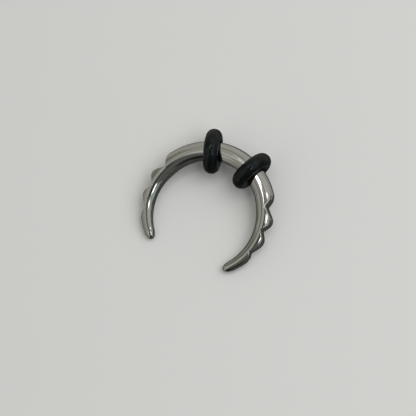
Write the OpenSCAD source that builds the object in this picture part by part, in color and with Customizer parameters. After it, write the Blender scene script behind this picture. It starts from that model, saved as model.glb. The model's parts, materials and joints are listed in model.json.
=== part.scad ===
// Septum pincher: a crescent of round steel bar, open at the front, whose two
// arms narrow to blunt tips and have V notches filed in their outer edge. Two
// rubber rings grip the bar on either side of its middle.
//
// It rests as it would by itself on a table: on the undersides of both rubber
// rings and on one tip. X runs across the crescent, Y from its tips to its
// middle, and Z is up from the table.

/* [Bar] */
// Diameter of the round bar before it narrows
bar_d = 2.4; // [2.2:0.1:2.6]
// Clear diameter inside the crescent
inner_d = 12.4; // [11.6:0.1:14]
// Diameter of the bar where it ends
tip_d = 1.1; // [1:0.05:1.3]
// Angle along the bend from the bar's middle to where it starts to narrow
taper_angle = 66; // [60:1:72]
// Angle along the bend from the bar's middle to the end of each tip
tip_angle = 139.5; // [131:0.5:142]
// Length of the rounding at each tip
tip_rounding = 1.3; // [0.8:0.1:1.5]

/* [Notches] */
// Angle from the bar's middle to the left arm's first crest, where its notches begin
left_first_crest = 58; // [55:0.5:60]
// Angle from the bar's middle to the right arm's first crest
right_first_crest = 56; // [55:0.5:60]
// Angle from the bar's middle to the second crest on each arm
second_crest = 77.5; // [75:0.5:78]
// Angle from the second crest to the third, and from there to the fourth
crest_step = 19; // [18:0.25:19.5]
// Width left unfiled on each crest
crest_land = 0.24; // [0.15:0.01:0.4]

/* [Rubber rings] */
// Thickness of each ring, from the bar outwards
ring_thickness = 1.5; // [1.3:0.1:1.6]
// Width of each ring along the bar, where it is squeezed wider than it is thick
ring_width = 1.8; // [1.6:0.1:1.9]
// Gap between the bar and each ring, on the radius
ring_gap = 0.05; // [0.05:0.01:0.08]
// Angle from the bar's middle to the left ring
left_ring_angle = -18; // [-30:0.5:-14]
// Angle from the bar's middle to the right ring
right_ring_angle = 25.5; // [14:0.5:34]
// How far the left ring sits askew on the bar
left_ring_skew = -6; // [-6:0.5:6]
// How far the right ring sits askew on the bar
right_ring_skew = -1.5; // [-6:0.5:6]

/* [Smoothness] */
// Number of sides of the bar's outline
bar_sides = 40; // [24:4:44]
// Number of stretches that the bar's skin is made of, along each arm
arm_steps = 44; // [24:2:48]

/* [Hidden] */
$fn = 64;

STEEL = [0.58, 0.58, 0.545];
RUBBER = [0.05, 0.055, 0.06];

bend_r = (inner_d + bar_d) / 2;      // radius of the bar's bent centreline
ring_r = (bar_d + ring_thickness) / 2 + ring_gap;
ring_flat = ring_width - ring_thickness; // width of the rings' squeezed flat
rounding_steps = 8;                  // stretches of skin over a tip's rounding

// The bar's radius at an angle from its middle, on either arm, without rounding
function bar_r(angle) =
    let (share = max(0, (abs(angle) - taper_angle) / (tip_angle - taper_angle)))
    (bar_d + (tip_d - bar_d) * share) / 2;

// A place on the bend: an angle along it, a distance outwards from the
// centreline and a height above it
function on_bend(angle, out, height = 0) =
    [(bend_r + out) * sin(angle), (bend_r + out) * cos(angle), height];

// Each station of an arm is [angle, radius]. A tip's rounding is a quarter of an
// ellipse, from rounding_start to tip_angle.
rounding_start = tip_angle - tip_rounding / bend_r * 180 / PI;
rounding_r = bar_r(rounding_start);
arm_stations = concat(
    [for (k = [1 : arm_steps])
        let (angle = rounding_start * k / arm_steps) [angle, bar_r(angle)]],
    [for (k = [1 : rounding_steps - 1])
        let (turn = 90 * k / rounding_steps)
        [rounding_start + (tip_angle - rounding_start) * sin(turn), rounding_r * cos(turn)]]
);
arm_count = len(arm_stations);
stations = concat(
    [for (k = [arm_count - 1 : -1 : 0]) [-arm_stations[k][0], arm_stations[k][1]]],
    [[0, bar_r(0)]],
    arm_stations
);

// The bar's skin: a round outline at each station, and a pole at each tip
last_outline = len(stations) - 1;
first_pole = (last_outline + 1) * bar_sides;
last_pole = first_pole + 1;
bar_points = concat(
    [for (s = stations, j = [0 : bar_sides - 1])
        let (around = 360 * (j + 0.5) / bar_sides)
        on_bend(s[0], s[1] * cos(around), s[1] * sin(around))],
    [on_bend(-tip_angle, 0), on_bend(tip_angle, 0)]
);
function corner(outline, side) = outline * bar_sides + side % bar_sides;
bar_faces = concat(
    [for (i = [0 : last_outline - 1], j = [0 : bar_sides - 1])
        each [[corner(i, j), corner(i + 1, j), corner(i + 1, j + 1)],
              [corner(i, j), corner(i + 1, j + 1), corner(i, j + 1)]]],
    [for (j = [0 : bar_sides - 1]) [first_pole, corner(0, j), corner(0, j + 1)]],
    [for (j = [0 : bar_sides - 1])
        [last_pole, corner(last_outline, j + 1), corner(last_outline, j)]]
);

// The notches of each arm, from the middle outwards, a row for each.
// ROOT: where the root lies between its two crests, as a share of the way.
// HEIGHT: how far the root is outside the bar's centreline, as a share of the
// bar's radius there.
ROOT = 0;
HEIGHT = 1;
LEFT_NOTCHES = [
    [0.39, 0.03],
    [0.53, -0.03],
    [0.69, 0.18],
];
RIGHT_NOTCHES = [
    [0.35, 0.12],
    [0.46, 0.03],
    [0.65, 0.24],
];
file_reach = 1;                      // how far a cut runs on past a crest
half_land = crest_land / 2 / (bend_r + bar_d / 2) * 180 / PI;

// The two flanks of a notch, in plan, run straight from the root to the lands of
// the crests beside it, and on past the bar's skin
function crest(first_crest, i) = i == 0 ? first_crest : second_crest + crest_step * (i - 1);
function crest_edge(first_crest, i, side) =
    let (angle = crest(first_crest, i) + side * half_land)
    on_bend(angle, bar_r(angle));
function notch_root(first_crest, i, notch) =
    let (
        before = crest(first_crest, i),
        angle = before + notch[ROOT] * (crest(first_crest, i + 1) - before)
    )
    on_bend(angle, notch[HEIGHT] * bar_r(angle));
function past(from, to) = to + file_reach * (to - from) / norm(to - from);
function in_plan(p) = [p.x, p.y];

module notches(first_crest, rows) {
    for (i = [0 : len(rows) - 1]) {
        root = notch_root(first_crest, i, rows[i]);
        before = past(root, crest_edge(first_crest, i, 1));
        after = past(root, crest_edge(first_crest, i + 1, -1));
        linear_extrude(2 * bar_d, center = true)
            polygon([for (p = [before, root, after]) in_plan(p)]);
    }
}

// The resting position. Seen from the crescent, the table's upward direction is
// the one in which both rings and a tip reach down equally far. How far they
// reach depends a little on that direction, so it is worked out again from the
// last answer a few times. A tip reaches as far as half of an oval body does, as
// long as the rounding and as wide as the bar where it begins.
LEFT = -1;
RIGHT = 1;
function ring_axis(angle, skew) =
    [cos(skew) * cos(angle), -cos(skew) * sin(angle), sin(skew)];
function ring_reach(axis, way) =
    let (along = abs(axis * way))
    ring_r * sqrt(1 - along * along) + ring_flat / 2 * along + ring_thickness / 2;
function tip_middle(side) = on_bend(side * rounding_start, 0);
function tip_reach(side, way) =
    let (along = [cos(rounding_start), -side * sin(rounding_start), 0] * way)
    norm([rounding_r * sqrt(1 - along * along), tip_rounding * along]);

left_middle = on_bend(left_ring_angle, 0);
right_middle = on_bend(right_ring_angle, 0);
left_axis = ring_axis(left_ring_angle, left_ring_skew);
right_axis = ring_axis(right_ring_angle, right_ring_skew);

function upward(side, rounds) =
    let (
        last = rounds == 0 ? [0, 0, 1] : upward(side, rounds - 1),
        left_reach = ring_reach(left_axis, last),
        across = left_middle - right_middle,
        along = left_middle - tip_middle(side),
        across_drop = left_reach - ring_reach(right_axis, last),
        along_drop = left_reach - tip_reach(side, last),
        area = across.x * along.y - across.y * along.x,
        x = (across_drop * along.y - along_drop * across.y) / area,
        y = (along_drop * across.x - across_drop * along.x) / area
    )
    [x, y, sqrt(1 - x * x - y * y)];

// How low the underside of a ring and of a tip are. It rests on the left tip,
// unless the right one would then be below the table.
function ring_low(way) = left_middle * way - ring_reach(left_axis, way);
function tip_low(side, way) = tip_middle(side) * way - tip_reach(side, way);
on_left = upward(LEFT, 5);
up = tip_low(RIGHT, on_left) < ring_low(on_left) ? upward(RIGHT, 5) : on_left;
pitch = atan2(up.y, up.z);
roll = -asin(up.x);
// Rows of the turn from the crescent's own directions to the resting ones
turning = [
    [cos(roll), sin(roll) * sin(pitch), sin(roll) * cos(pitch)],
    [0, cos(pitch), -sin(pitch)],
    up,
];

// The origin is the middle of the bounding box, on the table
turned_bar = [for (p = bar_points) turning * p];
function ring_back(middle, axis) =
    (turning * middle).y + ring_reach(turning * axis, [0, 1, 0]);
middle_x = (min([for (p = turned_bar) p.x]) + max([for (p = turned_bar) p.x])) / 2;
front_y = min([for (p = turned_bar) p.y]);
back_y = max(ring_back(left_middle, left_axis), ring_back(right_middle, right_axis));
origin = [middle_x, (front_y + back_y) / 2, ring_low(up)];

module resting() {
    translate(-origin) rotate([pitch, roll, 0]) children();
}

module pincher() {
    color(STEEL) resting() difference() {
        polyhedron(bar_points, bar_faces, convexity = 6);
        mirror([1, 0, 0]) notches(left_first_crest, LEFT_NOTCHES);
        notches(right_first_crest, RIGHT_NOTCHES);
    }
}

module rubber_ring(angle, skew) {
    color(RUBBER) resting()
        rotate([0, 0, -angle]) translate([0, bend_r, 0]) rotate([0, 90 - skew, 0])
            rotate_extrude() translate([ring_r, 0]) {
                for (side = [-1, 1]) translate([0, side * ring_flat / 2])
                    circle(d = ring_thickness);
                square([ring_thickness, ring_flat], center = true);
            }
}

module o_ring_left() {
    rubber_ring(left_ring_angle, left_ring_skew);
}

module o_ring_right() {
    rubber_ring(right_ring_angle, right_ring_skew);
}

pincher();
o_ring_left();
o_ring_right();
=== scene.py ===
"""A septum pincher: a notched crescent of polished steel with two black rubber rings on it.

The crescent is one skin, a grid of stations along the bend by angles round the bar. Its notches and
their softly worn edges come from rounded maxima of distances. Each ring is an oval section carried
round the bar, and where it meets the steel it is pressed outwards.

Both are worked out in the crescent's own frame, in millimetres: X across it, Y towards the middle
of the bar, Z square to its plane, with the middle of the bend at the origin. They are then turned
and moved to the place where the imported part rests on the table.
"""

import json
import logging
import math
from dataclasses import dataclass, field
from enum import Enum

import bpy
import numpy as np
from mathutils import Matrix, Vector


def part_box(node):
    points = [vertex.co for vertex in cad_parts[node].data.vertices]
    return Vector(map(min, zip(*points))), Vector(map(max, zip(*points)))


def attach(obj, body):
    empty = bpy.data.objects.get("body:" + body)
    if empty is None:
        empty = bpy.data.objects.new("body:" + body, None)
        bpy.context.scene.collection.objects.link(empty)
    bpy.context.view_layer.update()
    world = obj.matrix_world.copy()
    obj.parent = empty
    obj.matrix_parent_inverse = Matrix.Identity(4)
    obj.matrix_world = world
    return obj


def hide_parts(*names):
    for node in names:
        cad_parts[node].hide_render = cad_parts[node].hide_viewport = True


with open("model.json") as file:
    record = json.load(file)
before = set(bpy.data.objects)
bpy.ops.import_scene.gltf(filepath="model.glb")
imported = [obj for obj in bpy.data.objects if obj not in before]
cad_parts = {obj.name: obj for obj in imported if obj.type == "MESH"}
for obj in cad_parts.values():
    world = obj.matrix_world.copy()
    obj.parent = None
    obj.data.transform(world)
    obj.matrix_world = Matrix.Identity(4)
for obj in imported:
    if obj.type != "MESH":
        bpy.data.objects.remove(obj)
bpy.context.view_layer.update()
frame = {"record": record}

MM = 0.001
NEARLY_NOUGHT = 1e-9
REST_ROUNDS = 6
BODY = "root"
SEAT = frame["record"]["mounts"][0]["dims"]

log = logging.getLogger("septum_pincher")

Triple = tuple[float, float, float]
Colour = Triple
Range = tuple[float, float]


class Slot(Enum):
    """The record's material slots."""

    STEEL = "steel"
    RUBBER = "rubber"


class Side(Enum):
    """The two arms of the crescent, by the sign of their angles."""

    LEFT = -1
    RIGHT = 1


def rounded_max(a: np.ndarray, b: np.ndarray, reach: float | np.ndarray) -> np.ndarray:
    """The larger of two distances, rounded where they are within reach of each other.

    Formula: max(a, b) + max(reach - |a - b|, 0) squared / (4 reach).

    Args:
        a: One distance, in millimetres.
        b: The other distance, in millimetres.
        reach: How near the two must be for the corner between them to be rounded.

    Returns:
        The rounded maximum.
    """
    near = np.maximum(reach - np.abs(a - b), 0.0)
    return np.maximum(a, b) + near * near / (4.0 * reach)


def rounded_min(a: np.ndarray, b: np.ndarray, reach: float) -> np.ndarray:
    """The smaller of two distances, rounded in the same way as rounded_max."""
    return -rounded_max(-a, -b, reach)


def gathered(start: float, end: float, count: int) -> np.ndarray:
    """Values from start up to but not including end, close together near both.

    Formula: start + (end - start) (1 - cos(pi k / count)) / 2 for k from 0.

    Args:
        start: The first value.
        end: The value at which the next run starts.
        count: How many values there are.

    Returns:
        The values, as one row.
    """
    share = (1.0 - np.cos(np.pi * np.arange(count) / count)) / 2.0
    return start + (end - start) * share


@dataclass(frozen=True)
class Bend:
    """The circle that the bar's centreline follows, in millimetres."""

    radius: float

    def place(self, angle: np.ndarray, out: np.ndarray, height: np.ndarray) -> np.ndarray:
        """Points from an angle along the bend, a distance outwards and a height above its plane.

        Formula: x = (radius + out) sin(angle), y = (radius + out) cos(angle), z = height.

        Args:
            angle: Angles from the bar's middle, in radians, positive to the right.
            out: Distances outwards from the centreline.
            height: Heights above the plane of the bend.

        Returns:
            The points, with x, y and z in the last axis.
        """
        reach = self.radius + out
        return np.stack([reach * np.sin(angle), reach * np.cos(angle), height + 0.0 * reach], -1)

    def measure(self, points: np.ndarray) -> tuple[np.ndarray, np.ndarray, np.ndarray]:
        """The angle, the distance outwards and the height of points: the inverse of place."""
        out = np.hypot(points[..., 0], points[..., 1]) - self.radius
        return np.arctan2(points[..., 0], points[..., 1]), out, points[..., 2]


@dataclass(frozen=True)
class Grid:
    """A surface of rows of points, closed round each row and, where poles are given, at its ends."""

    points: np.ndarray
    poles: tuple[np.ndarray, ...] = ()

    def vertices(self) -> np.ndarray:
        """All the points in one list, the rows first and then the poles."""
        rows = self.points.reshape(-1, 3)
        return np.concatenate([rows, np.array(self.poles)]) if self.poles else rows

    def quads(self) -> np.ndarray:
        """Corners of the quads between each row and the next, closed round the rows.

        Without poles the last row joins the first, so that the surface is a ring.

        Returns:
            The corners, four for each quad.
        """
        rows, sides = self.points.shape[:2]
        row = np.arange(rows - 1 if self.poles else rows)[:, None]
        side = np.arange(sides)[None, :]
        row_after = (row + 1) % rows
        side_after = (side + 1) % sides
        corners = [
            row * sides + side,
            row * sides + side_after,
            row_after * sides + side_after,
            row_after * sides + side,
        ]
        return np.stack(np.broadcast_arrays(*corners), -1).reshape(-1, 4)

    def caps(self) -> np.ndarray:
        """Corners of the triangles that close the first and the last row to their poles.

        Returns:
            The corners, three for each triangle, or none where there are no poles.
        """
        if not self.poles:
            return np.empty((0, 3), int)
        rows, sides = self.points.shape[:2]
        side = np.arange(sides)
        side_after = (side + 1) % sides
        last = (rows - 1) * sides
        first_pole = np.full(sides, rows * sides)
        first = np.stack([first_pole, side_after, side], -1)
        end = np.stack([first_pole + 1, last + side, last + side_after], -1)
        return np.concatenate([first, end])

    def mesh(self, name: str) -> bpy.types.Mesh:
        """A smooth mesh of the surface.

        Args:
            name: The mesh's name.

        Returns:
            The mesh, with the points in metres.
        """
        mesh = bpy.data.meshes.new(name)
        faces = self.quads().tolist() + self.caps().tolist()
        mesh.from_pydata(self.vertices().tolist(), [], faces)
        mesh.shade_smooth()
        mesh.validate()
        return mesh


def write_numbers(mesh: bpy.types.Mesh, name: str, values: np.ndarray) -> None:
    """Store a number or a vector for each vertex, for a material to read.

    Args:
        mesh: The mesh to write to.
        name: The attribute's name.
        values: One number, or one row of three, for each vertex.
    """
    kind, key = ("FLOAT", "value") if values.ndim == 1 else ("FLOAT_VECTOR", "vector")
    attribute = mesh.attributes.new(name, kind, "POINT")
    attribute.data.foreach_set(key, values.astype(np.float32).ravel())


def show(mesh: bpy.types.Mesh) -> bpy.types.Object:
    """Put a mesh into the scene, unturned at the origin, under its own name.

    Args:
        mesh: The mesh.

    Returns:
        The object that holds it.
    """
    thing = bpy.data.objects.new(mesh.name, mesh)
    bpy.context.scene.collection.objects.link(thing)
    return thing


def flat_square(name: str, side: float, material: bpy.types.Material) -> bpy.types.Object:
    """Put a flat square into the scene, at height 0 with its middle at the origin.

    Args:
        name: The square's name.
        side: The length of its side, in metres.
        material: Its material.

    Returns:
        The square.
    """
    half = side / 2.0
    corners = [(-half, -half, 0.0), (half, -half, 0.0), (half, half, 0.0), (-half, half, 0.0)]
    mesh = bpy.data.meshes.new(name)
    mesh.from_pydata(corners, [], [(0, 1, 2, 3)])
    mesh.materials.append(material)
    return show(mesh)


@dataclass(frozen=True)
class Grain:
    """A noise in a finish.

    Attributes:
        scale: Features for each millimetre along each axis.
        detail: Octaves of finer noise.
        rough: Share of each finer octave.
    """

    scale: Triple
    detail: float = 2.0
    rough: float = 0.5


class Bench:
    """A node tree with short ways to add nodes and join them."""

    def __init__(self, tree: bpy.types.NodeTree) -> None:
        """Start from an empty tree."""
        self.tree = tree
        tree.nodes.clear()

    @classmethod
    def material(cls, name: str) -> tuple[bpy.types.Material, "Bench"]:
        """A new material with its empty tree.

        Args:
            name: The material's name.

        Returns:
            The material, and a bench on its tree.
        """
        material = bpy.data.materials.new(name)
        material.use_nodes = True
        return material, cls(material.node_tree)

    def add(self, kind: str, **settings: object) -> bpy.types.Node:
        """Add a node.

        Args:
            kind: The node's type, such as ShaderNodeMath.
            settings: Properties of the node by name, such as operation.

        Returns:
            The node.
        """
        node = self.tree.nodes.new(kind)
        for key, value in settings.items():
            setattr(node, key, value)
        return node

    def join(self, source: bpy.types.NodeSocket, target: bpy.types.NodeSocket) -> None:
        """Link an output to an input."""
        self.tree.links.new(source, target)

    def feed(self, node: bpy.types.Node, **inputs: object) -> bpy.types.Node:
        """Set a node's inputs, each from another node's output or to a plain value.

        Args:
            node: The node whose inputs are set.
            inputs: Input names in lower case with underscores, or i0, i1 and so on for a place.

        Returns:
            The same node.
        """
        named = {socket.name.lower().replace(" ", "_"): socket for socket in reversed(node.inputs)}
        for key, value in inputs.items():
            placed = key[0] == "i" and key[1:].isdigit()
            socket = node.inputs[int(key[1:])] if placed else named[key]
            if isinstance(value, bpy.types.NodeSocket):
                self.join(value, socket)
            else:
                socket.default_value = value
        return node

    def axes(self, vector: bpy.types.NodeSocket) -> bpy.types.NodeOutputs:
        """The X, Y and Z of a vector."""
        return self.feed(self.add("ShaderNodeSeparateXYZ"), vector=vector).outputs

    def stretched(self, vector: bpy.types.NodeSocket, scale: Triple) -> bpy.types.NodeSocket:
        """Coordinates multiplied by a scale for each axis."""
        node = self.feed(self.add("ShaderNodeVectorMath", operation="MULTIPLY"), i0=vector, i1=scale)
        return node.outputs["Vector"]

    def noise(self, vector: bpy.types.NodeSocket, grain: Grain) -> bpy.types.NodeSocket:
        """A noise from 0 to 1 with its own scale along each axis.

        Args:
            vector: The coordinates to read, in millimetres.
            grain: The noise's scale and detail.

        Returns:
            The noise's strength.
        """
        node = self.add("ShaderNodeTexNoise", noise_dimensions="3D")
        place = self.stretched(vector, grain.scale)
        self.feed(node, vector=place, scale=1.0, detail=grain.detail, roughness=grain.rough)
        return node.outputs[0]

    def ranged(
        self, value: bpy.types.NodeSocket, low: float, high: float, to_low: float, to_high: float
    ) -> bpy.types.NodeSocket:
        """A value carried from one range to another and held inside it, by a smooth step.

        Args:
            value: The value.
            low: Where the first range starts.
            high: Where the first range ends.
            to_low: What the value becomes at low and below it.
            to_high: What the value becomes at high and above it.

        Returns:
            The value in the second range.
        """
        node = self.add("ShaderNodeMapRange", interpolation_type="SMOOTHSTEP")
        self.feed(node, value=value, from_min=low, from_max=high, to_min=to_low, to_max=to_high)
        return node.outputs["Result"]

    def worked(self, operation: str, a: object, b: object = 0.0) -> bpy.types.NodeSocket:
        """One or two numbers worked on by a mathematical operation, such as MULTIPLY."""
        return self.feed(self.add("ShaderNodeMath", operation=operation), i0=a, i1=b).outputs[0]

    def dot(self, vector: bpy.types.NodeSocket, other: Triple) -> bpy.types.NodeSocket:
        """The dot product of a vector and a fixed one."""
        node = self.add("ShaderNodeVectorMath", operation="DOT_PRODUCT")
        return self.feed(node, i0=vector, i1=other).outputs["Value"]

    def mixed(self, share: object, first: object, second: object) -> bpy.types.NodeSocket:
        """Two colours mixed by a share.

        Args:
            share: How much of the second colour there is, from 0 to 1.
            first: The first colour, plain or another node's output.
            second: The second colour.

        Returns:
            The mixed colour.
        """
        node = self.add("ShaderNodeMix", data_type="RGBA")
        node.clamp_factor = True
        for socket, value in ((node.inputs[0], share), (node.inputs[6], first), (node.inputs[7], second)):
            if isinstance(value, bpy.types.NodeSocket):
                self.join(value, socket)
            else:
                socket.default_value = (*value, 1.0) if isinstance(value, tuple) else value
        return node.outputs[2]

    def bumped(
        self, height: bpy.types.NodeSocket, depth: float, normal: bpy.types.NodeSocket | None = None
    ) -> bpy.types.NodeSocket:
        """A normal tilted by a height.

        Args:
            height: The height, from 0 to 1.
            depth: What a height of 1 stands for, in metres.
            normal: The normal that this bump is laid over.

        Returns:
            The tilted normal.
        """
        node = self.feed(self.add("ShaderNodeBump"), height=height, distance=depth, strength=1.0)
        if normal is not None:
            self.join(normal, node.inputs["Normal"])
        return node.outputs["Normal"]

    def finish(self, shader: bpy.types.Node) -> None:
        """Send a shader to the material's surface."""
        self.join(shader.outputs[0], self.add("ShaderNodeOutputMaterial").inputs["Surface"])


@dataclass(frozen=True)
class ShadedDrawLine:
    """A shallow line left along the bar by its drawing, with painted shade where it is deep; a wide one is a
    band of painted shade.

    Attributes:
        around: Where it lies round the bar, in degrees from the outer side, up over the top.
        slant: How far it drifts round the bar, in degrees for each millimetre along it.
        width: Its width, in degrees round the bar.
        strength: How deep it is, where 1 is the finish's draw_depth and below 0 is a raised line; the
            deeper, the more painted shade.
        first: Where along the bar it begins, in millimetres from the bar's middle.
        last: Where along the bar it ends.
    """

    around: float
    slant: float
    width: float
    strength: float
    first: float = -20.0
    last: float = 20.0


@dataclass(frozen=True)
class DrawnSteel:
    """Polished steel with fine draw lines along the bar and file marks across its notches, and painted shade
    on its deeper draw lines and its filed flanks.

    The pattern follows the bar: it reads "straight", each vertex's place on the bar as if it were
    straightened out, in millimetres, "filed", which is 1 on a notch's flank and 0 on the skin, and
    "worn", which is 1 on the edge between them. Depths are in metres, and places along the bar and
    outside its centreline are in millimetres.

    Attributes:
        light: The colour of the paler streaks.
        dark: The colour of the darker streaks.
        worn: The colour of the notches' worn edges.
        flank: The colour of the filed flanks.
        line_shade: The painted shade that darkens the draw lines and the wide bands where they are deepest.
        polish: The least roughness.
        smear: The greatest roughness.
        lines: The noise of the fine lines.
        hairs: The noise of the hairlines and of the streaks' colour.
        file_marks: The noise of the file marks.
        clouds: The noise of the roughness.
        fading: The noise that lets the draw lines fade in places.
        mottle: The noise of the sanding.
        line_depth: How deep the fine lines are.
        hair_depth: How deep the hairlines are.
        file_depth: How deep the file marks are.
        draw_depth: How deep a draw line of strength 1 is.
        mottle_depth: How deep the sanding is.
        line_fade: How far along the bar a draw line takes to begin or to end.
        sanded_along: Where along each arm the sanding sets in.
        sanded_until: Where along each arm it ends.
        sanded_outside: How far outside the centreline it sets in.
        filed_range: From where to where in "filed" the file marks set in.
        fading_range: From where to where in its noise a draw line comes back.
        least_drawn: What is left of a draw line where it fades, as a share.
        streak_range: From where to where in the hairlines the streaks grow paler.
        line_shade_range: From where to where in depth a draw line takes on the painted shade.
        worn_range: From where to where in "worn" the worn colour sets in.
        worn_most: The greatest share of the worn colour.
        cloud_range: From where to where in its noise the roughness grows.
        shaded_draw_lines: The draw lines, with painted shade where deep, and the wide bands of painted
            shade.
    """

    light: Colour = (0.64, 0.64, 0.605)
    dark: Colour = (0.52, 0.52, 0.485)
    worn: Colour = (0.80, 0.80, 0.77)
    flank: Colour = (0.47, 0.46, 0.43)
    line_shade: Colour = (0.30, 0.30, 0.27)
    polish: float = 0.035
    smear: float = 0.09
    lines: Grain = Grain((0.10, 4.0, 4.0), 3.0, 0.6)
    hairs: Grain = Grain((0.6, 38.0, 38.0))
    file_marks: Grain = Grain((22.0, 22.0, 0.8))
    clouds: Grain = Grain((0.5, 1.1, 1.1), 3.0, 0.6)
    fading: Grain = Grain((0.22, 0.5, 0.5), 1.0)
    mottle: Grain = Grain((7.0, 9.0, 9.0), 2.0, 0.6)
    line_depth: float = 0.0000007
    hair_depth: float = 0.00000022
    file_depth: float = 0.0000012
    draw_depth: float = 0.000005
    mottle_depth: float = 0.0000025
    line_fade: float = 0.8
    sanded_along: Range = (4.6, 6.0)
    sanded_until: Range = (7.0, 7.5)
    sanded_outside: Range = (0.7, 1.0)
    filed_range: Range = (0.7, 1.0)
    fading_range: Range = (0.3, 0.6)
    least_drawn: float = 0.35
    streak_range: Range = (0.38, 0.62)
    line_shade_range: Range = (0.1, 0.9)
    worn_range: Range = (0.2, 1.0)
    worn_most: float = 0.8
    cloud_range: Range = (0.3, 0.7)
    # Draw lines; those of positive strength are darkened with painted shade, raised ones are not.
    shaded_draw_lines: tuple[ShadedDrawLine, ...] = (
        ShadedDrawLine(60.0, 0.0, 4.0, -1.0, -1.5, 3.6),
        ShadedDrawLine(70.0, 0.3, 3.5, 1.2),
        ShadedDrawLine(82.0, 0.3, 3.0, -1.0, -1.5, 3.6),
        ShadedDrawLine(105.0, -0.1, 8.0, 0.9, -13.2),
        ShadedDrawLine(103.0, 0.5, 7.0, 1.1, -20.0, -12.4),
        ShadedDrawLine(128.0, 0.2, 3.0, 0.4),
        # A wide band of painted shade on the upper inner side of the bar's middle.
        ShadedDrawLine(117.0, 0.0, 26.0, 0.62, -2.8, 4.0),
    )

    def drawn_and_shaded(self, bench: Bench, straight: bpy.types.NodeSocket) -> bpy.types.NodeSocket:
        """How deep the draw lines are at a place, as a share of draw_depth, below 0 where raised; this also
        sets their painted shade.

        Formula: each line's strength times 1 at its middle falling smoothly to 0 at its width,
        and to 0 where it begins and ends. The angle round the bar is the arctangent of the height
        over the distance outwards.

        Args:
            bench: The material's bench.
            straight: The place on the straightened bar.

        Returns:
            The depth of all the lines together.
        """
        axes = bench.axes(straight)
        around = bench.worked("ARCTAN2", axes["Z"], axes["Y"])
        depth = None
        for line in self.shaded_draw_lines:
            drift = bench.worked("MULTIPLY", axes["X"], -math.radians(line.slant))
            turned = bench.worked("ADD", around, drift)
            aside = bench.worked("SUBTRACT", turned, math.radians(line.around))
            away = bench.worked("ABSOLUTE", aside)
            share = bench.ranged(away, 0.0, math.radians(line.width), line.strength, 0.0)
            for end, side in ((line.first, 1.0), (line.last, -1.0)):
                inside = bench.ranged(axes["X"], end, end + side * self.line_fade, 0.0, 1.0)
                share = bench.worked("MULTIPLY", share, inside)
            depth = share if depth is None else bench.worked("ADD", depth, share)
        return depth

    def sanded(self, bench: Bench, straight: bpy.types.NodeSocket) -> bpy.types.NodeSocket:
        """Where the outer side was sanded by hand before the first notch, from 0 to 1.

        Args:
            bench: The material's bench.
            straight: The place on the straightened bar.

        Returns:
            How much of the sanding there is.
        """
        axes = bench.axes(straight)
        along = bench.worked("ABSOLUTE", axes["X"])
        sanded = bench.ranged(axes["Y"], *self.sanded_outside, 0.0, 1.0)
        for reach, share in ((self.sanded_along, 1.0), (self.sanded_until, 0.0)):
            sanded = bench.worked("MULTIPLY", sanded, bench.ranged(along, *reach, 1.0 - share, share))
        return sanded

    def material(self) -> bpy.types.Material:
        """The steel as a material.

        Returns:
            The material.
        """
        material, bench = Bench.material("drawn_steel")
        straight = bench.add("ShaderNodeAttribute", attribute_name="straight").outputs["Vector"]
        filed = bench.add("ShaderNodeAttribute", attribute_name="filed").outputs["Fac"]
        worn = bench.add("ShaderNodeAttribute", attribute_name="worn").outputs["Fac"]

        lines, hairs = bench.noise(straight, self.lines), bench.noise(straight, self.hairs)
        file_marks, mottle = bench.noise(straight, self.file_marks), bench.noise(straight, self.mottle)
        clouds, fading = bench.noise(straight, self.clouds), bench.noise(straight, self.fading)

        skin_share = bench.worked("SUBTRACT", 1.0, filed)
        skin_lines = bench.worked("MULTIPLY", lines, skin_share)
        skin_hairs = bench.worked("MULTIPLY", hairs, skin_share)
        on_flank = bench.ranged(filed, *self.filed_range, 0.0, 1.0)
        flank_marks = bench.worked("MULTIPLY", file_marks, on_flank)
        unfaded = bench.ranged(fading, *self.fading_range, self.least_drawn, 1.0)
        present = bench.worked("MULTIPLY", unfaded, skin_share)
        drawn_and_shaded = bench.worked("MULTIPLY", self.drawn_and_shaded(bench, straight), present)
        sanded = bench.worked("MULTIPLY", self.sanded(bench, straight), skin_share)
        normal = bench.bumped(skin_lines, self.line_depth)
        normal = bench.bumped(bench.worked("MULTIPLY", mottle, sanded), self.mottle_depth, normal)
        normal = bench.bumped(skin_hairs, self.hair_depth, normal)
        normal = bench.bumped(flank_marks, self.file_depth, normal)
        normal = bench.bumped(bench.worked("MULTIPLY", drawn_and_shaded, -1.0), self.draw_depth, normal)

        streaks = bench.ranged(hairs, *self.streak_range, 0.0, 1.0)
        colour = bench.mixed(streaks, self.dark, self.light)
        # Painted shade: the deep draw lines and the wide band take the line_shade colour.
        colour = bench.mixed(bench.ranged(drawn_and_shaded, *self.line_shade_range, 0.0, 1.0), colour, self.line_shade)
        # Painted shade, partly: the filed flanks take their own duller tone, darkened further.
        colour = bench.mixed(filed, colour, self.flank)
        edges = bench.ranged(worn, *self.worn_range, 0.0, self.worn_most)
        colour = bench.mixed(edges, colour, self.worn)
        roughness = bench.ranged(clouds, *self.cloud_range, self.polish, self.smear)

        shader = bench.feed(
            bench.add("ShaderNodeBsdfPrincipled"),
            base_color=colour,
            metallic=1.0,
            roughness=roughness,
            normal=normal,
        )
        bench.finish(shader)
        return material


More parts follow.
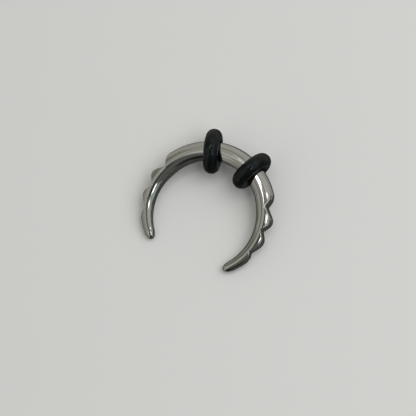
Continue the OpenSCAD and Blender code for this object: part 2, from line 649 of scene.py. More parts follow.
@dataclass(frozen=True)
class BlackRubber:
    """Smooth black rubber with a soft sheen, a very fine grain and a little dust.

    Attributes:
        black: The rubber's own colour.
        bloom: Its colour where it has bloomed paler.
        dust: The colour of the specks of dust.
        sheen: How strongly it mirrors.
        tint: The tint of what it mirrors.
        gloss: The least roughness.
        matt: The greatest roughness.
        grain: The noise of the surface's grain.
        clouds: The noise of the bloom and the roughness.
        specks: The noise of the dust.
        grain_depth: How deep the grain is, in metres.
        bloom_range: From where to where in the clouds the bloom sets in.
        dust_range: From where to where in the specks the dust sets in.
        cloud_range: From where to where in the clouds the roughness grows.
    """

    black: Colour = (0.0046, 0.0053, 0.0057)
    bloom: Colour = (0.0058, 0.0072, 0.0079)
    dust: Colour = (0.16, 0.17, 0.17)
    sheen: float = 0.28
    tint: Colour = (0.87, 0.98, 1.0)
    gloss: float = 0.12
    matt: float = 0.24
    grain: Grain = Grain((13.0, 13.0, 13.0), 3.0, 0.6)
    clouds: Grain = Grain((1.4, 1.4, 1.4), 3.0, 0.55)
    specks: Grain = Grain((9.0, 9.0, 9.0), 0.0)
    grain_depth: float = 0.0000022
    bloom_range: Range = (0.35, 0.7)
    dust_range: Range = (0.80, 0.86)
    cloud_range: Range = (0.3, 0.7)

    def material(self) -> bpy.types.Material:
        """The rubber as a material.

        Returns:
            The material.
        """
        material, bench = Bench.material("black_rubber")
        metres = bench.add("ShaderNodeTexCoord").outputs["Object"]
        place = bench.stretched(metres, (1.0 / MM, 1.0 / MM, 1.0 / MM))
        clouds = bench.noise(place, self.clouds)

        bloomed = bench.ranged(clouds, *self.bloom_range, 0.0, 1.0)
        dusty = bench.ranged(bench.noise(place, self.specks), *self.dust_range, 0.0, 1.0)
        colour = bench.mixed(dusty, bench.mixed(bloomed, self.black, self.bloom), self.dust)
        roughness = bench.ranged(clouds, *self.cloud_range, self.gloss, self.matt)
        shader = bench.feed(
            bench.add("ShaderNodeBsdfPrincipled"),
            base_color=colour,
            roughness=roughness,
            specular_ior_level=self.sheen,
            specular_tint=(*self.tint, 1.0),
            normal=bench.bumped(bench.noise(place, self.grain), self.grain_depth),
        )
        bench.finish(shader)
        return material


@dataclass(frozen=True)
class PaleTable:
    """The plain pale surface that the pincher lies on.

    Attributes:
        side: The length of its side, in metres.
        colour: Its colour.
        roughness: Its roughness.
        gleam: How strongly it mirrors.
    """

    side: float = 2.4
    colour: Colour = (0.88, 0.88, 0.875)
    roughness: float = 0.8
    gleam: float = 0.2

    def material(self) -> bpy.types.Material:
        """The table as a material.

        Returns:
            The material.
        """
        material, bench = Bench.material("pale_table")
        shader = bench.feed(
            bench.add("ShaderNodeBsdfPrincipled"),
            base_color=(*self.colour, 1.0),
            roughness=self.roughness,
            specular_ior_level=self.gleam,
        )
        bench.finish(shader)
        return material

    def lay(self) -> bpy.types.Object:
        """Lay the table, a flat square at height 0.

        Nothing mirrors it. What the steel mirrors in its place are the room's cards, which go on
        below the horizon.

        Returns:
            The table.
        """
        table = flat_square("table", self.side, self.material())
        table.visible_glossy = False
        return table


@dataclass(frozen=True)
class DarkCard:
    """A round dark card that lies on the table between the tips, seen only where steel mirrors it.

    Attributes:
        colour: Its colour and brightness.
        radius: Its radius, in metres.
        edge: How wide its soft edge is, in metres.
        forward: How far its middle is in front of the part's, in metres.
        height: How high it lies, in metres.
    """

    colour: Colour = (0.07, 0.07, 0.067)
    radius: float = 0.0056
    edge: float = 0.0016
    forward: float = 0.0062
    height: float = 0.00002

    def material(self) -> bpy.types.Material:
        """The card as a material that lets light past its soft edge.

        Returns:
            The material.
        """
        material, bench = Bench.material("dark_card")
        place = bench.add("ShaderNodeTexCoord").outputs["Object"]
        length = bench.feed(bench.add("ShaderNodeVectorMath", operation="LENGTH"), i0=place).outputs["Value"]
        share = bench.ranged(length, self.radius - self.edge, self.radius, 1.0, 0.0)
        clear = bench.add("ShaderNodeBsdfTransparent")
        dark = bench.feed(bench.add("ShaderNodeEmission"), color=(*self.colour, 1.0))
        both = bench.add("ShaderNodeMixShader")
        bench.feed(both, i0=share, i1=clear.outputs[0], i2=dark.outputs[0])
        bench.finish(both)
        return material

    def lay(self) -> bpy.types.Object:
        """Lay the card on the table, where neither the camera nor diffuse light sees it.

        It throws no shadow.

        Returns:
            The card.
        """
        card = flat_square("dark_card", 2.0 * self.radius, self.material())
        card.location = (0.0, -self.forward, self.height)
        card.visible_camera = False
        card.visible_diffuse = False
        card.visible_shadow = False
        return card


@dataclass(frozen=True)
class Notch:
    """A V notch between two crests.

    Attributes:
        root_share: Where its root lies between the crests, as a share of the way.
        root_height: How far the root is outside the centreline, as a share of the bar's radius.
    """

    root_share: float
    root_height: float


@dataclass(frozen=True)
class Filing:
    """The notches that are filed into one arm.

    Attributes:
        side: The arm.
        first_crest: The angle of its first crest, in degrees from the bar's middle.
        notches: Its notches, from the middle outwards.
    """

    side: Side
    first_crest: float
    notches: tuple[Notch, ...]


@dataclass(frozen=True)
class RestingPlace:
    """How the crescent is turned and moved from its own frame to the table's.

    Attributes:
        turn: The table's three directions, as rows seen from the crescent.
        origin: The table's origin, in the turned directions, in millimetres.
    """

    turn: np.ndarray
    origin: np.ndarray

    def place(self, points: np.ndarray) -> np.ndarray:
        """Points of the crescent's own frame, in the table's frame and in metres."""
        return (points @ self.turn.T - self.origin) * MM


@dataclass
class Crescent:
    """The steel bar: round, bent to an open C, narrowed to blunt tips and notched outside.

    Lengths are in millimetres, angles in degrees from the bar's middle.

    Attributes:
        bar_d: The bar's diameter.
        inner_d: The clear diameter inside the bend.
        tip_d: The diameter that an arm narrows to.
        taper_angle: Where an arm starts to narrow.
        tip_angle: Where an arm ends.
        tip_rounding: How long the rounding of a tip is.
        second_crest: The angle of each arm's second crest.
        crest_step: The angle from one crest to the next, from the second crest on.
        crest_land: How wide the flat of a crest is.
        filings: The notches of the left and of the right arm.
        edge_wear: How far the notches' edges are rounded.
        root_wear: How far the notches' roots are rounded.
        crest_wear: How much further the edges are rounded at a crest.
        crest_spread: How far from a crest that reaches, in degrees.
        land_wear: How far the lands are rounded.
        core: Where the rays that find the skin start, as a share of the radius.
        slack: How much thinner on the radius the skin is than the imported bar.
        sides: Samples round a section.
        closeness: How strongly those samples close up to the notches' edges.
        flank_samples: The share of them that covers a flank.
        least_flank: The least angle from the middle of a section's outer side to a flank's edge.
        halvings: How often the way to the skin is halved.
        plain_steps: Stations from the bar's middle to its first crest.
        flank_steps: Stations along a flank.
        land_steps: Stations along a land.
        end_steps: Stations from the last crest to the tip's rounding.
        rounding_steps: Stations along a tip's rounding.
        bend: The circle of the centreline, worked out from bar_d and inner_d.
    """

    bar_d: float = 2.0 * SEAT["r_mm"]
    inner_d: float = 12.4
    tip_d: float = 1.1
    taper_angle: float = 66.0
    tip_angle: float = 139.5
    tip_rounding: float = 1.3
    second_crest: float = 77.5
    crest_step: float = 19.0
    crest_land: float = 0.24
    filings: tuple[Filing, Filing] = (
        Filing(Side.LEFT, 58.0, (Notch(0.39, 0.03), Notch(0.53, -0.03), Notch(0.69, 0.18))),
        Filing(Side.RIGHT, 56.0, (Notch(0.35, 0.12), Notch(0.46, 0.03), Notch(0.65, 0.24))),
    )
    edge_wear: float = 0.16
    root_wear: float = 0.07
    crest_wear: float = 0.26
    crest_spread: float = 2.0
    land_wear: float = 0.12
    core: float = 0.35
    slack: float = 0.008
    sides: int = 160
    closeness: float = 0.72
    flank_samples: float = 0.33
    least_flank: float = 24.0
    halvings: int = 36
    plain_steps: int = 48
    flank_steps: int = 22
    land_steps: int = 5
    end_steps: int = 26
    rounding_steps: int = 18
    bend: Bend = field(init=False)

    def __post_init__(self) -> None:
        """Work out the bend from the bar and the clear diameter inside it."""
        self.bend = Bend((self.inner_d + self.bar_d) / 2.0)

    def plain_radius(self, angle: np.ndarray) -> np.ndarray:
        """The bar's radius without its tips' rounding.

        Formula: half of bar_d up to taper_angle, then falling evenly to half of tip_d.
        """
        share = (np.abs(angle) - self.taper_angle) / (self.tip_angle - self.taper_angle)
        return (self.bar_d + (self.tip_d - self.bar_d) * np.maximum(share, 0.0)) / 2.0

    def rounding_start(self) -> float:
        """The angle at which a tip's rounding starts."""
        return self.tip_angle - math.degrees(self.tip_rounding / self.bend.radius)

    def radius(self, angle: np.ndarray) -> np.ndarray:
        """The bar's radius, with a quarter of an ellipse as each tip's rounding.

        Formula: the radius where the rounding starts, times the square root of 1 - share squared,
        where share runs from 0 at the start of the rounding to 1 at the tip.

        Args:
            angle: The stations' angles.

        Returns:
            The radius at each of them.
        """
        start = self.rounding_start()
        share = np.clip((np.abs(angle) - start) / (self.tip_angle - start), 0.0, 1.0)
        plain = self.plain_radius(np.minimum(np.abs(angle), start)) - self.slack
        return plain * np.sqrt(1.0 - share * share)

    def wear(self, angle: np.ndarray) -> np.ndarray:
        """How far the rounding of the notches' edges reaches, at angles of stations.

        Formula: edge_wear, and at each crest crest_wear more, times e to the power of minus the
        square of the angle from the crest over crest_spread.

        Args:
            angle: The stations' angles.

        Returns:
            How far the rounding reaches at each of them.
        """
        reach = np.full_like(angle, self.edge_wear)
        for filing in self.filings:
            for index in range(len(filing.notches) + 1):
                away = angle * filing.side.value - self.crest(filing, index)
                reach += self.crest_wear * np.exp(-((away / self.crest_spread) ** 2))
        return reach

    def tip_reach(self, way: np.ndarray) -> float:
        """How far the left tip reaches in a direction, from where its rounding starts.

        Formula: as half of an oval body does, the length of the vector of the radius times the
        direction's share across the bar, and the rounding times its share along the bar.

        Args:
            way: The direction, as a unit vector.

        Returns:
            How far the tip reaches.
        """
        start = math.radians(self.rounding_start())
        along = float(np.array([math.cos(start), math.sin(start), 0.0]) @ way)
        radius = float(self.plain_radius(np.array(self.rounding_start())))
        return math.hypot(radius * math.sqrt(1.0 - along * along), self.tip_rounding * along)

    def half_land(self) -> float:
        """Half of a crest's land, as an angle."""
        return math.degrees(self.crest_land / 2.0 / (self.bend.radius + self.bar_d / 2.0))

    def crest(self, filing: Filing, index: int) -> float:
        """The angle of a crest, counted from the middle of the bar."""
        return self.second_crest + self.crest_step * (index - 1) if index else filing.first_crest

    def crest_edge(self, filing: Filing, index: int, side: int) -> float:
        """The angle of one edge of a crest's land: side is -1 towards the middle, 1 to the tip."""
        return self.crest(filing, index) + side * self.half_land()

    def root_angle(self, filing: Filing, index: int) -> float:
        """The angle of a notch's root."""
        before, after = self.crest(filing, index), self.crest(filing, index + 1)
        return before + (after - before) * filing.notches[index].root_share

    def arm_stations(self, filing: Filing) -> np.ndarray:
        """Angles of an arm's stations, from just past the middle to just before the tip.

        They are close together at the lands, at the roots and round the tip, where the skin turns
        most: runs of gathered angles between those places, then the sines of even turns.

        Args:
            filing: The arm's notches.

        Returns:
            The angles, all positive.
        """
        first, last = self.crest_edge(filing, 0, 1), len(filing.notches)
        runs = [gathered(-first, first, 2 * self.plain_steps)[self.plain_steps + 1 :]]
        for index in range(last):
            root = self.root_angle(filing, index)
            before, after = self.crest_edge(filing, index + 1, -1), self.crest_edge(filing, index + 1, 1)
            runs.append(gathered(self.crest_edge(filing, index, 1), root, self.flank_steps))
            runs.append(gathered(root, before, self.flank_steps))
            runs.append(np.linspace(before, after, self.land_steps, endpoint=False))
        start = self.rounding_start()
        runs.append(gathered(self.crest_edge(filing, last, 1), start, self.end_steps))
        turns = np.linspace(0.0, np.pi / 2.0, self.rounding_steps, endpoint=False)
        runs.append(start + (self.tip_angle - start) * np.sin(turns))
        return np.concatenate(runs)

    def stations(self) -> np.ndarray:
        """Angles of all the stations, from the left tip to the right one."""
        left, right = (self.arm_stations(filing) for filing in self.filings)
        return np.concatenate([-left[::-1], [0.0], right])

    def flank(self, filing: Filing, index: int, side: int, points: np.ndarray) -> np.ndarray:
        """How far points are on the filed-away side of a notch's flank.

        Formula: in plan, the distance from the straight line through the root and the crest's
        edge, positive on the side of the notch's other crest.

        Args:
            filing: The arm's notches.
            index: The notch, counted from the middle.
            side: 0 for the flank towards the bar's middle, 1 for the one towards the tip.
            points: Points on the arm, mirrored to the right.

        Returns:
            The distances.
        """
        root_angle = self.root_angle(filing, index)
        lift = filing.notches[index].root_height * self.plain_radius(root_angle)
        root = self.bend.place(np.radians(root_angle), lift, 0.0)[:2]
        crests = []
        for edge in (self.crest_edge(filing, index, 1), self.crest_edge(filing, index + 1, -1)):
            crests.append(self.bend.place(np.radians(edge), self.plain_radius(edge), 0.0)[:2])
        along = crests[side] - root
        square = np.array([along[1], -along[0]]) / np.hypot(*along)
        square *= np.sign(square @ (crests[1 - side] - root))
        return (points[..., :2] - root) @ square

    def cut(self, points: np.ndarray) -> np.ndarray:
        """How deep points are in the notches, negative where the steel is left.

        Formula: for each notch the smaller of its two flanks' distances, rounded at the root by
        root_wear; of all the notches on a point's own arm the largest, rounded at the lands by
        land_wear.

        Args:
            points: The points.

        Returns:
            The depths.
        """
        depth = np.full(points.shape[:-1], -self.bar_d)
        for filing in self.filings:
            arm = points * np.array([filing.side.value, 1.0, 1.0])
            for index in range(len(filing.notches)):
                flanks = [self.flank(filing, index, side, arm) for side in (0, 1)]
                notch = rounded_min(*flanks, self.root_wear)
                deeper = rounded_max(depth, notch, self.land_wear)
                depth = np.where(arm[..., 0] > 0.0, deeper, depth)
        return depth

    def section_angles(self, stations: np.ndarray) -> np.ndarray:
        """Angles round each station's section, closest together along the notches' edges.

        The flank's edge stands at an angle that changes from station to station. The share
        flank_samples of the samples covers the flank and the rest covers the round skin, and both
        runs close up to the edge: with x from 0 to 1 on a run, its share is x (1 + c) - c x
        squared up to the edge, and x (1 - c) + c x squared past it, where c is closeness.

        Args:
            stations: The stations' angles, in degrees.

        Returns:
            One row of angles for each station, in radians.
        """
        close, flank_share = self.closeness, self.flank_samples
        least = math.radians(self.least_flank)
        radius = self.radius(stations)
        limit = self.plan_limit(stations)
        half = np.sqrt(np.maximum(radius * radius - limit * limit, 0.0))
        edge = np.maximum(np.arctan2(half, limit + self.core_offset(stations)), least)[:, None]
        turn = (np.arange(self.sides) + 0.5) / self.sides * 2.0 - 1.0
        side, way = np.sign(turn), np.abs(turn)[None, :]
        inner = np.clip(way / flank_share, 0.0, 1.0)
        outer = np.clip((way - flank_share) / (1.0 - flank_share), 0.0, 1.0)
        flank = edge * (inner * (1.0 + close) - close * inner * inner)
        skin = (np.pi - edge) * (outer * (1.0 - close) + close * outer * outer)
        return side * (flank + skin)

    def core_offset(self, stations: np.ndarray) -> np.ndarray:
        """How far inside the centreline the rays that find the skin start."""
        return self.core * self.radius(stations)

    def plan_limit(self, stations: np.ndarray) -> np.ndarray:
        """How far outside the centreline the notches leave the steel, at each station.

        Formula: a straight line in plan, in polar form. Its distance grows evenly outwards, so
        the place where it is nought follows from the distances at two places.

        Args:
            stations: The stations' angles.

        Returns:
            The distances outwards, at most the bar's radius.
        """
        angle = np.radians(stations)
        radius = self.radius(stations)
        inner = self.cut(self.bend.place(angle, -self.core * radius, 0.0 * angle))
        outer = self.cut(self.bend.place(angle, radius, 0.0 * angle))
        share = np.clip(-inner / np.maximum(outer - inner, NEARLY_NOUGHT), 0.0, 1.0)
        return radius * ((1.0 + self.core) * share - self.core)

    def skin(self) -> tuple[np.ndarray, np.ndarray, np.ndarray, np.ndarray]:
        """The bar's skin, found along rays from inside each section.

        At each station rays leave a point a little inside the centreline. The skin is where the
        rounded maximum of two distances is nought: the distance past the round bar, and the depth
        in the notches. Halving the way from inside to outside finds it.

        Returns:
            The stations' angles in radians, the distances outwards, the heights, and the shares
            of filed steel, all as grids of stations by sides.
        """
        stations = self.stations()
        around = self.section_angles(stations)
        angle = np.radians(stations)[:, None] + 0.0 * around
        radius = self.radius(stations)[:, None]
        reach = self.wear(stations)[:, None]
        core = -self.core_offset(stations)[:, None]
        low, high = np.zeros_like(around), np.zeros_like(around) + 2.0 * radius
        for _ in range(self.halvings):
            way = (low + high) / 2.0
            out, height = core + way * np.cos(around), way * np.sin(around)
            past_bar = np.hypot(out, height) - radius
            depth = self.cut(self.bend.place(angle, out, height))
            outside = rounded_max(past_bar, depth, reach) > 0.0
            high = np.where(outside, way, high)
            low = np.where(outside, low, way)
        filed = np.clip((depth - past_bar) / self.edge_wear * 0.5 + 0.5, 0.0, 1.0)
        return angle, out, height, filed

    def build(self, rest: RestingPlace) -> bpy.types.Object:
        """Make the crescent's mesh and put it where it rests.

        Args:
            rest: The resting place.

        Returns:
            The piece.
        """
        angle, out, height, filed = self.skin()
        tips = np.radians([-self.tip_angle, self.tip_angle])
        poles = self.bend.place(tips, np.zeros(2), np.zeros(2))
        points = self.bend.place(angle, out, height)
        grid = Grid(rest.place(points), tuple(rest.place(poles)))
        mesh = grid.mesh("crescent")
        straight = np.stack([angle * self.bend.radius, out, height], -1).reshape(-1, 3)
        ends = np.stack([tips * self.bend.radius, np.zeros(2), np.zeros(2)], -1)
        write_numbers(mesh, "straight", np.concatenate([straight, ends]))
        write_numbers(mesh, "filed", np.concatenate([filed.ravel(), np.zeros(2)]))
        worn = 4.0 * filed * (1.0 - filed)
        write_numbers(mesh, "worn", np.concatenate([worn.ravel(), np.zeros(2)]))
        return show(mesh)

    def dress(self, piece: bpy.types.Object, finish: DrawnSteel) -> None:
        """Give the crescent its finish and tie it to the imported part.

        Args:
            piece: The crescent's object.
            finish: The finish.
        """
        piece.data.materials.append(finish.material())
        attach(piece, BODY)
        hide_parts("pincher")


@dataclass
class GripRing:
    """A rubber ring on the bar. Lengths are in millimetres, angles in degrees.

    Attributes:
        side: The arm that it sits on.
        angle: Its angle along the bend.
        skew: How far it sits askew.
        thickness: The rubber's thickness across the bar.
        width: Its width along the bar.
        gap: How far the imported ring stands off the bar.
        squeeze: How far the unpressed oval would reach into the bar.
        contact: How far the pressed rubber's edges are rounded where it leaves the steel.
        around: Samples round the bar.
        section: Samples round the section.
    """

    side: Side
    angle: float
    skew: float
    thickness: float = 1.5
    width: float = 1.8
    gap: float = 0.05
    squeeze: float = 0.06
    contact: float = 0.10
    around: int = 144
    section: int = 64

    @property
    def node(self) -> str:
        """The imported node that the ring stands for."""
        return f"o_ring_{self.side.name.lower()}"

    def axis(self) -> np.ndarray:
        """The direction of the ring's axis, along the bar."""
        angle, skew = math.radians(self.angle), math.radians(self.skew)
        return np.array(
            [math.cos(skew) * math.cos(angle), -math.cos(skew) * math.sin(angle), math.sin(skew)]
        )

    def middle(self, bend: Bend) -> np.ndarray:
        """The middle of the ring, on the bar's centreline."""
        return bend.place(math.radians(self.angle), 0.0, 0.0)

    def reach(self, bar_d: float, way: np.ndarray) -> float:
        """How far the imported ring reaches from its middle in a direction.

        Formula: its mean radius times the direction's share across the axis, plus half of the
        flat of its section times the share along the axis, plus half of its thickness.

        Args:
            bar_d: The bar's diameter.
            way: The direction, as a unit vector.

        Returns:
            How far the ring reaches.
        """
        along = abs(float(self.axis() @ way))
        mean = (bar_d + self.thickness) / 2.0 + self.gap
        flat = (self.width - self.thickness) / 2.0
        return mean * math.sqrt(1.0 - along * along) + flat * along + self.thickness / 2.0

    def skin(self, crescent: Crescent) -> np.ndarray:
        """The ring's skin: an oval carried round the bar and pressed outwards by the steel.

        Formula: with a the angle round the bar and b the angle round the section, a point is the
        ring's middle plus (mean + half height cos b) across, in direction a, plus half width
        sin b along the axis. Its distance from the bar's centreline is then at least the bar's
        radius, by a rounded maximum.

        Args:
            crescent: The bar that the ring sits on.

        Returns:
            The points, a grid of angles round the bar by angles round the section.
        """
        bar_r = crescent.bar_d / 2.0
        outer = bar_r + self.gap + self.thickness
        inner = bar_r - self.squeeze
        mean, half = (outer + inner) / 2.0, (outer - inner) / 2.0
        round_bar = np.linspace(0.0, 2.0 * np.pi, self.around, endpoint=False)[:, None, None]
        round_section = np.linspace(0.0, 2.0 * np.pi, self.section, endpoint=False)[None, :, None]
        axis = self.axis()
        outward = self.middle(crescent.bend) / crescent.bend.radius
        upward = np.cross(axis, outward)
        across = outward * np.cos(round_bar) + upward * np.sin(round_bar)
        points = self.middle(crescent.bend) + across * (mean + half * np.cos(round_section))
        points = points + axis * (self.width / 2.0 * np.sin(round_section))
        angle, out, height = crescent.bend.measure(points)
        distance = np.hypot(out, height)
        pressed = rounded_max(distance, np.full_like(distance, bar_r), self.contact) / distance
        return crescent.bend.place(angle, out * pressed, height * pressed)

    def build(self, crescent: Crescent, rest: RestingPlace) -> bpy.types.Object:
        """Make the ring's mesh and put it where it rests.

        Args:
            crescent: The bar that the ring sits on.
            rest: The resting place.

        Returns:
            The piece.
        """
        grid = Grid(rest.place(self.skin(crescent)))
        return show(grid.mesh(f"rubber_ring_{self.side.name.lower()}"))

    def dress(self, piece: bpy.types.Object, material: bpy.types.Material) -> None:
        """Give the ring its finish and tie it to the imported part.

        Args:
            piece: The ring's object.
            material: The rubber.
        """
        piece.data.materials.append(material)
        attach(piece, BODY)
        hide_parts(self.node)


def find_rest(crescent: Crescent, rings: list[GripRing]) -> RestingPlace:
    """Work out how the crescent lies on both rings and the left tip.

    The table's upward direction is the one in which these three reach down equally far. With two
    feet at m and n that reach down r and s, (m - n) times the direction is r - s, which gives two
    equations for its x and y. How far they reach depends a little on the direction, so it is
    worked out again from the last answer a few times. The origin follows from the middles of the
    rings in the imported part.

    Args:
        crescent: The bar.
        rings: The left and the right ring.

    Returns:
        The resting place.
    """
    bend, start = crescent.bend, crescent.rounding_start()
    middles = [ring.middle(bend) for ring in rings]
    tip = bend.place(math.radians(-start), 0.0, 0.0)
    up = np.array([0.0, 0.0, 1.0])
    for _ in range(REST_ROUNDS):
        reaches = [ring.reach(crescent.bar_d, up) for ring in rings]
        spans = np.array([middles[0] - middles[1], middles[0] - tip])[:, :2]
        drops = np.array([reaches[0] - reaches[1], reaches[0] - crescent.tip_reach(up)])
        x, y = np.linalg.solve(spans, drops)
        up = np.array([x, y, math.sqrt(1.0 - x * x - y * y)])
    pitch, roll = math.atan2(up[1], up[2]), -math.asin(up[0])
    across = [math.cos(roll), math.sin(roll) * math.sin(pitch), math.sin(roll) * math.cos(pitch)]
    turn = np.array([across, [0.0, math.cos(pitch), -math.sin(pitch)], up])
    offsets = []
    for ring, middle in zip(rings, middles):
        low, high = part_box(ring.node)
        offsets.append(turn @ middle - np.array((low + high) / 2.0) / MM)
    return RestingPlace(turn, np.mean(offsets, 0))


def direction(azimuth: float, elevation: float) -> Vector:
    """The unit vector at an azimuth and an elevation.

    Args:
        azimuth: The angle from +X towards +Y, in degrees.
        elevation: The angle above the table, in degrees.

    Returns:
        The vector.
    """
    flat = math.cos(math.radians(elevation))
    turn = math.radians(azimuth)
    return Vector((flat * math.cos(turn), flat * math.sin(turn), math.sin(math.radians(elevation))))


@dataclass(frozen=True)
class SoftBox:
    """A rectangular studio light that faces the pincher.

    Attributes:
        azimuth: Where it stands, in degrees from +X towards +Y.
        elevation: How high it stands, in degrees.
        width: Its width as an angle seen from the pincher, in degrees.
        height: Its height as an angle, in degrees.
        brightness: How bright its face is.
        colour: The colour of its light.
        distance: How far away it stands, in metres.
    """

    azimuth: float
    elevation: float
    width: float
    height: float
    brightness: float
    colour: Colour = (1.0, 1.0, 1.0)
    distance: float = 0.4

    def build(self, name: str) -> bpy.types.Object:
        """Hang the light. Its power is its brightness times pi times its area.

        Args:
            name: The light's name.

        Returns:
            The light.
        """
        data = bpy.data.lights.new(name, "AREA")
        data.shape = "RECTANGLE"
        data.size = 2.0 * self.distance * math.tan(math.radians(self.width / 2.0))
        data.size_y = 2.0 * self.distance * math.tan(math.radians(self.height / 2.0))
        data.energy = self.brightness * math.pi * data.size * data.size_y
        data.color = self.colour
        light = bpy.data.objects.new(name, data)
        light.location = direction(self.azimuth, self.elevation) * self.distance
        light.rotation_euler = light.location.to_track_quat("Z", "Y").to_euler()
        light.visible_camera = False
        bpy.context.scene.collection.objects.link(light)
        return light


@dataclass(frozen=True)
class Card:
    """A rectangular card in the room, lighter or darker than the rest, for the steel to mirror.

    Attributes:
        azimuth: Where its middle is, in degrees from +X towards +Y.
        elevation: How high its middle is, in degrees.
        width: Its width as an angle seen from the pincher, in degrees.
        height: Its height as an angle, in degrees.
        colour: Its colour and brightness.
        softness: How soft its edges are, as a share of its half size.
    """

    azimuth: float
    elevation: float
    width: float
    height: float
    colour: Colour
    softness: float = 0.25

    def share(self, bench: Bench, way: bpy.types.NodeSocket) -> bpy.types.NodeSocket:
        """How much of the card is seen in a direction, from 0 to 1.

        Formula: with the direction's shares across, up and towards the card's middle, each of the
        first two is divided by the tangent of half the card's angle. The larger one less the
        third is nought at the card's edge and negative on the card.

        Args:
            bench: The room's bench.
            way: The direction.

        Returns:
            The card's share.
        """
        middle = direction(self.azimuth, self.elevation)
        across = Vector((0.0, 0.0, 1.0)).cross(middle).normalized()
        spans = ((across, self.width), (middle.cross(across), self.height))
        sides = []
        for axis, angle in spans:
            size = 1.0 / math.tan(math.radians(angle / 2.0))
            share = bench.dot(way, tuple(axis * size))
            sides.append(bench.worked("ABSOLUTE", share))
        past_edge = bench.worked("SUBTRACT", bench.worked("MAXIMUM", *sides), bench.dot(way, tuple(middle)))
        return bench.ranged(past_edge, -self.softness, self.softness, 1.0, 0.0)


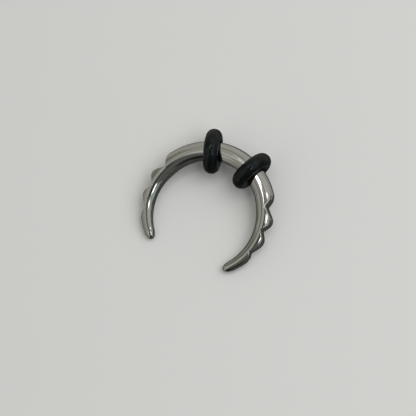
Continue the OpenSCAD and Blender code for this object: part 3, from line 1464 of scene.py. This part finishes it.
@dataclass
class Studio:
    """The pale table, the soft lights, the room they stand in and the camera.

    Attributes:
        room: The colour of the room where it has no card.
        backdrop: What the camera sees of the room.
        cards: The cards, each laid over the ones before it.
        boxes: The soft lights that the steel mirrors.
        fill: A soft light that nothing mirrors.
        table: The table.
        dark_card: The dark card that lies on it.
        camera_azimuth: Where the camera stands, in degrees from +X towards +Y.
        camera_elevation: How high it stands, in degrees.
        camera_roll: How far it is rolled about its line of sight, in degrees.
        camera_distance: How far it is from what it looks at, in metres.
        clip_start: The nearest that it sees, in metres.
        lens: Its focal length, in millimetres.
        sensor: The width of its sensor, in millimetres.
        frame_side: The picture's side, in pixels.
        bend_pixel: Where the middle of the bend falls in the picture, in pixels from its top left.
    """

    room: Colour = (0.40, 0.398, 0.375)
    backdrop: Colour = (0.74, 0.74, 0.74)
    cards: tuple[Card, ...] = (
        Card(-157.0, -22.0, 76.0, 64.0, (0.29, 0.288, 0.265), 0.3),
        Card(-20.0, -24.0, 88.0, 60.0, (0.075, 0.073, 0.07), 0.3),
        Card(142.0, -88.0, 112.0, 112.0, (0.07, 0.07, 0.067), 0.3),
        Card(40.0, 42.0, 56.0, 64.0, (0.53, 0.53, 0.51), 0.2),
        Card(100.0, 12.0, 36.0, 34.0, (0.48, 0.48, 0.455), 0.2),
        Card(86.0, 46.0, 9.0, 22.0, (0.98, 0.98, 0.94)),
        Card(174.0, 32.0, 30.0, 50.0, (0.24, 0.235, 0.20), 0.2),
        Card(24.0, 4.0, 38.0, 30.0, (0.22, 0.21, 0.20), 0.5),
        Card(0.0, -2.0, 76.0, 22.0, (0.12, 0.115, 0.11), 0.4),
        Card(-3.0, 22.0, 19.0, 38.0, (0.38, 0.48, 0.50)),
        Card(-34.0, 16.0, 24.0, 56.0, (0.11, 0.11, 0.105), 0.2),
        Card(-64.0, 32.0, 46.0, 84.0, (0.12, 0.12, 0.115), 0.12),
        Card(-62.0, 8.0, 40.0, 30.0, (0.02, 0.02, 0.02), 0.4),
        Card(-80.0, -10.0, 36.0, 60.0, (0.015, 0.015, 0.015), 0.4),
        Card(-112.0, 49.0, 24.0, 40.0, (0.60, 0.60, 0.57), 0.3),
        Card(-60.0, 85.0, 22.0, 18.0, (0.16, 0.16, 0.155), 0.3),
        Card(-56.0, 73.0, 16.0, 12.0, (0.05, 0.055, 0.055), 0.3),
    )
    boxes: tuple[SoftBox, ...] = (
        SoftBox(-22.5, 49.0, 9.5, 9.0, 4.0),
        SoftBox(-4.5, 59.0, 5.5, 9.0, 4.0),
        SoftBox(43.0, 53.0, 4.0, 14.0, 2.2),
        SoftBox(143.0, 82.2, 26.0, 4.4, 4.0),
    )
    fill: SoftBox = SoftBox(30.0, 55.0, 44.0, 44.0, 1.7)
    table: PaleTable = PaleTable()
    dark_card: DarkCard = DarkCard()
    camera_azimuth: float = -38.11
    camera_elevation: float = 70.72
    camera_roll: float = -26.89
    camera_distance: float = 0.303
    clip_start: float = 0.01
    lens: float = 216.4
    sensor: float = 36.0
    frame_side: int = 416
    bend_pixel: tuple[float, float] = (206.19, 211.41)

    def light_room(self) -> None:
        """Colour the room round the pincher and lay its cards over it.

        The cards go on below the horizon. They show in what is mirrored and in the light, while the
        camera itself sees a plain pale backdrop past the table's edge.
        """
        world = bpy.data.worlds.new("room")
        bpy.context.scene.world = world
        world.use_nodes = True
        bench = Bench(world.node_tree)
        way = bench.add("ShaderNodeTexCoord").outputs["Generated"]
        colour: object = self.room
        for card in self.cards:
            colour = bench.mixed(card.share(bench, way), colour, card.colour)
        seen = bench.add("ShaderNodeLightPath").outputs["Is Camera Ray"]
        background = bench.add("ShaderNodeBackground")
        bench.join(bench.mixed(seen, colour, self.backdrop), background.inputs["Color"])
        bench.join(background.outputs[0], bench.add("ShaderNodeOutputWorld").inputs["Surface"])

    def place_camera(self, crescent: Crescent, rest: RestingPlace) -> bpy.types.Object:
        """Stand the camera at the photograph's angle.

        It looks at the point that puts the middle of the bend on its place in the picture, and is
        rolled about the line of sight.

        Args:
            crescent: The bar whose bend is aimed at; not used.
            rest: The resting place.

        Returns:
            The camera.
        """
        data = bpy.data.cameras.new("camera")
        data.lens = self.lens
        data.sensor_width = self.sensor
        data.clip_start = self.clip_start
        back = direction(self.camera_azimuth, self.camera_elevation)
        level = Vector((0.0, 0.0, 1.0)).cross(back).normalized()
        roll = math.radians(self.camera_roll)
        right = level * math.cos(roll) + back.cross(level) * math.sin(roll)
        up = back.cross(right)
        bend_middle = Vector(rest.place(np.zeros(3)))
        pixel = self.camera_distance * self.sensor / self.lens / self.frame_side
        to_right = self.frame_side / 2.0 - self.bend_pixel[0]
        to_up = self.bend_pixel[1] - self.frame_side / 2.0
        target = bend_middle + (right * to_right + up * to_up) * pixel
        camera = bpy.data.objects.new("camera", data)
        turned = Matrix((right, up, back)).transposed().to_4x4()
        camera.matrix_world = Matrix.Translation(target + back * self.camera_distance) @ turned
        bpy.context.scene.collection.objects.link(camera)
        bpy.context.scene.camera = camera
        return camera

    def build(self, crescent: Crescent, rest: RestingPlace) -> None:
        """Set up the table, the room, the lights and the camera, and how light becomes colour.

        Args:
            crescent: The bar whose bend the camera is aimed at.
            rest: The resting place.
        """
        self.table.lay()
        self.dark_card.lay()
        self.light_room()
        for index, box in enumerate(self.boxes):
            box.build(f"soft_box_{index + 1}")
        self.fill.build("fill").visible_glossy = False
        self.place_camera(crescent, rest)
        bpy.context.scene.view_settings.view_transform = "Standard"


def report(piece: bpy.types.Object) -> None:
    """Log a finished piece's name, faces and size."""
    log.info(
        "%s: %d faces, %.2f x %.2f x %.2f mm",
        piece.name,
        len(piece.data.polygons),
        *(side / MM for side in piece.dimensions),
    )


def main() -> None:
    """Build the crescent, its two rings and the studio."""
    logging.basicConfig(level=logging.INFO, format="%(name)s: %(message)s")
    crescent = Crescent()
    rings = [
        GripRing(Side.LEFT, angle=-18.0, skew=-6.0),
        GripRing(Side.RIGHT, angle=25.5, skew=-1.5),
    ]
    rest = find_rest(crescent, rings)

    bar = crescent.build(rest)
    crescent.dress(bar, DrawnSteel())
    report(bar)

    rubber = BlackRubber().material()
    for ring in rings:
        piece = ring.build(crescent, rest)
        ring.dress(piece, rubber)
        report(piece)

    Studio().build(crescent, rest)


if __name__ == "__main__":
    main()
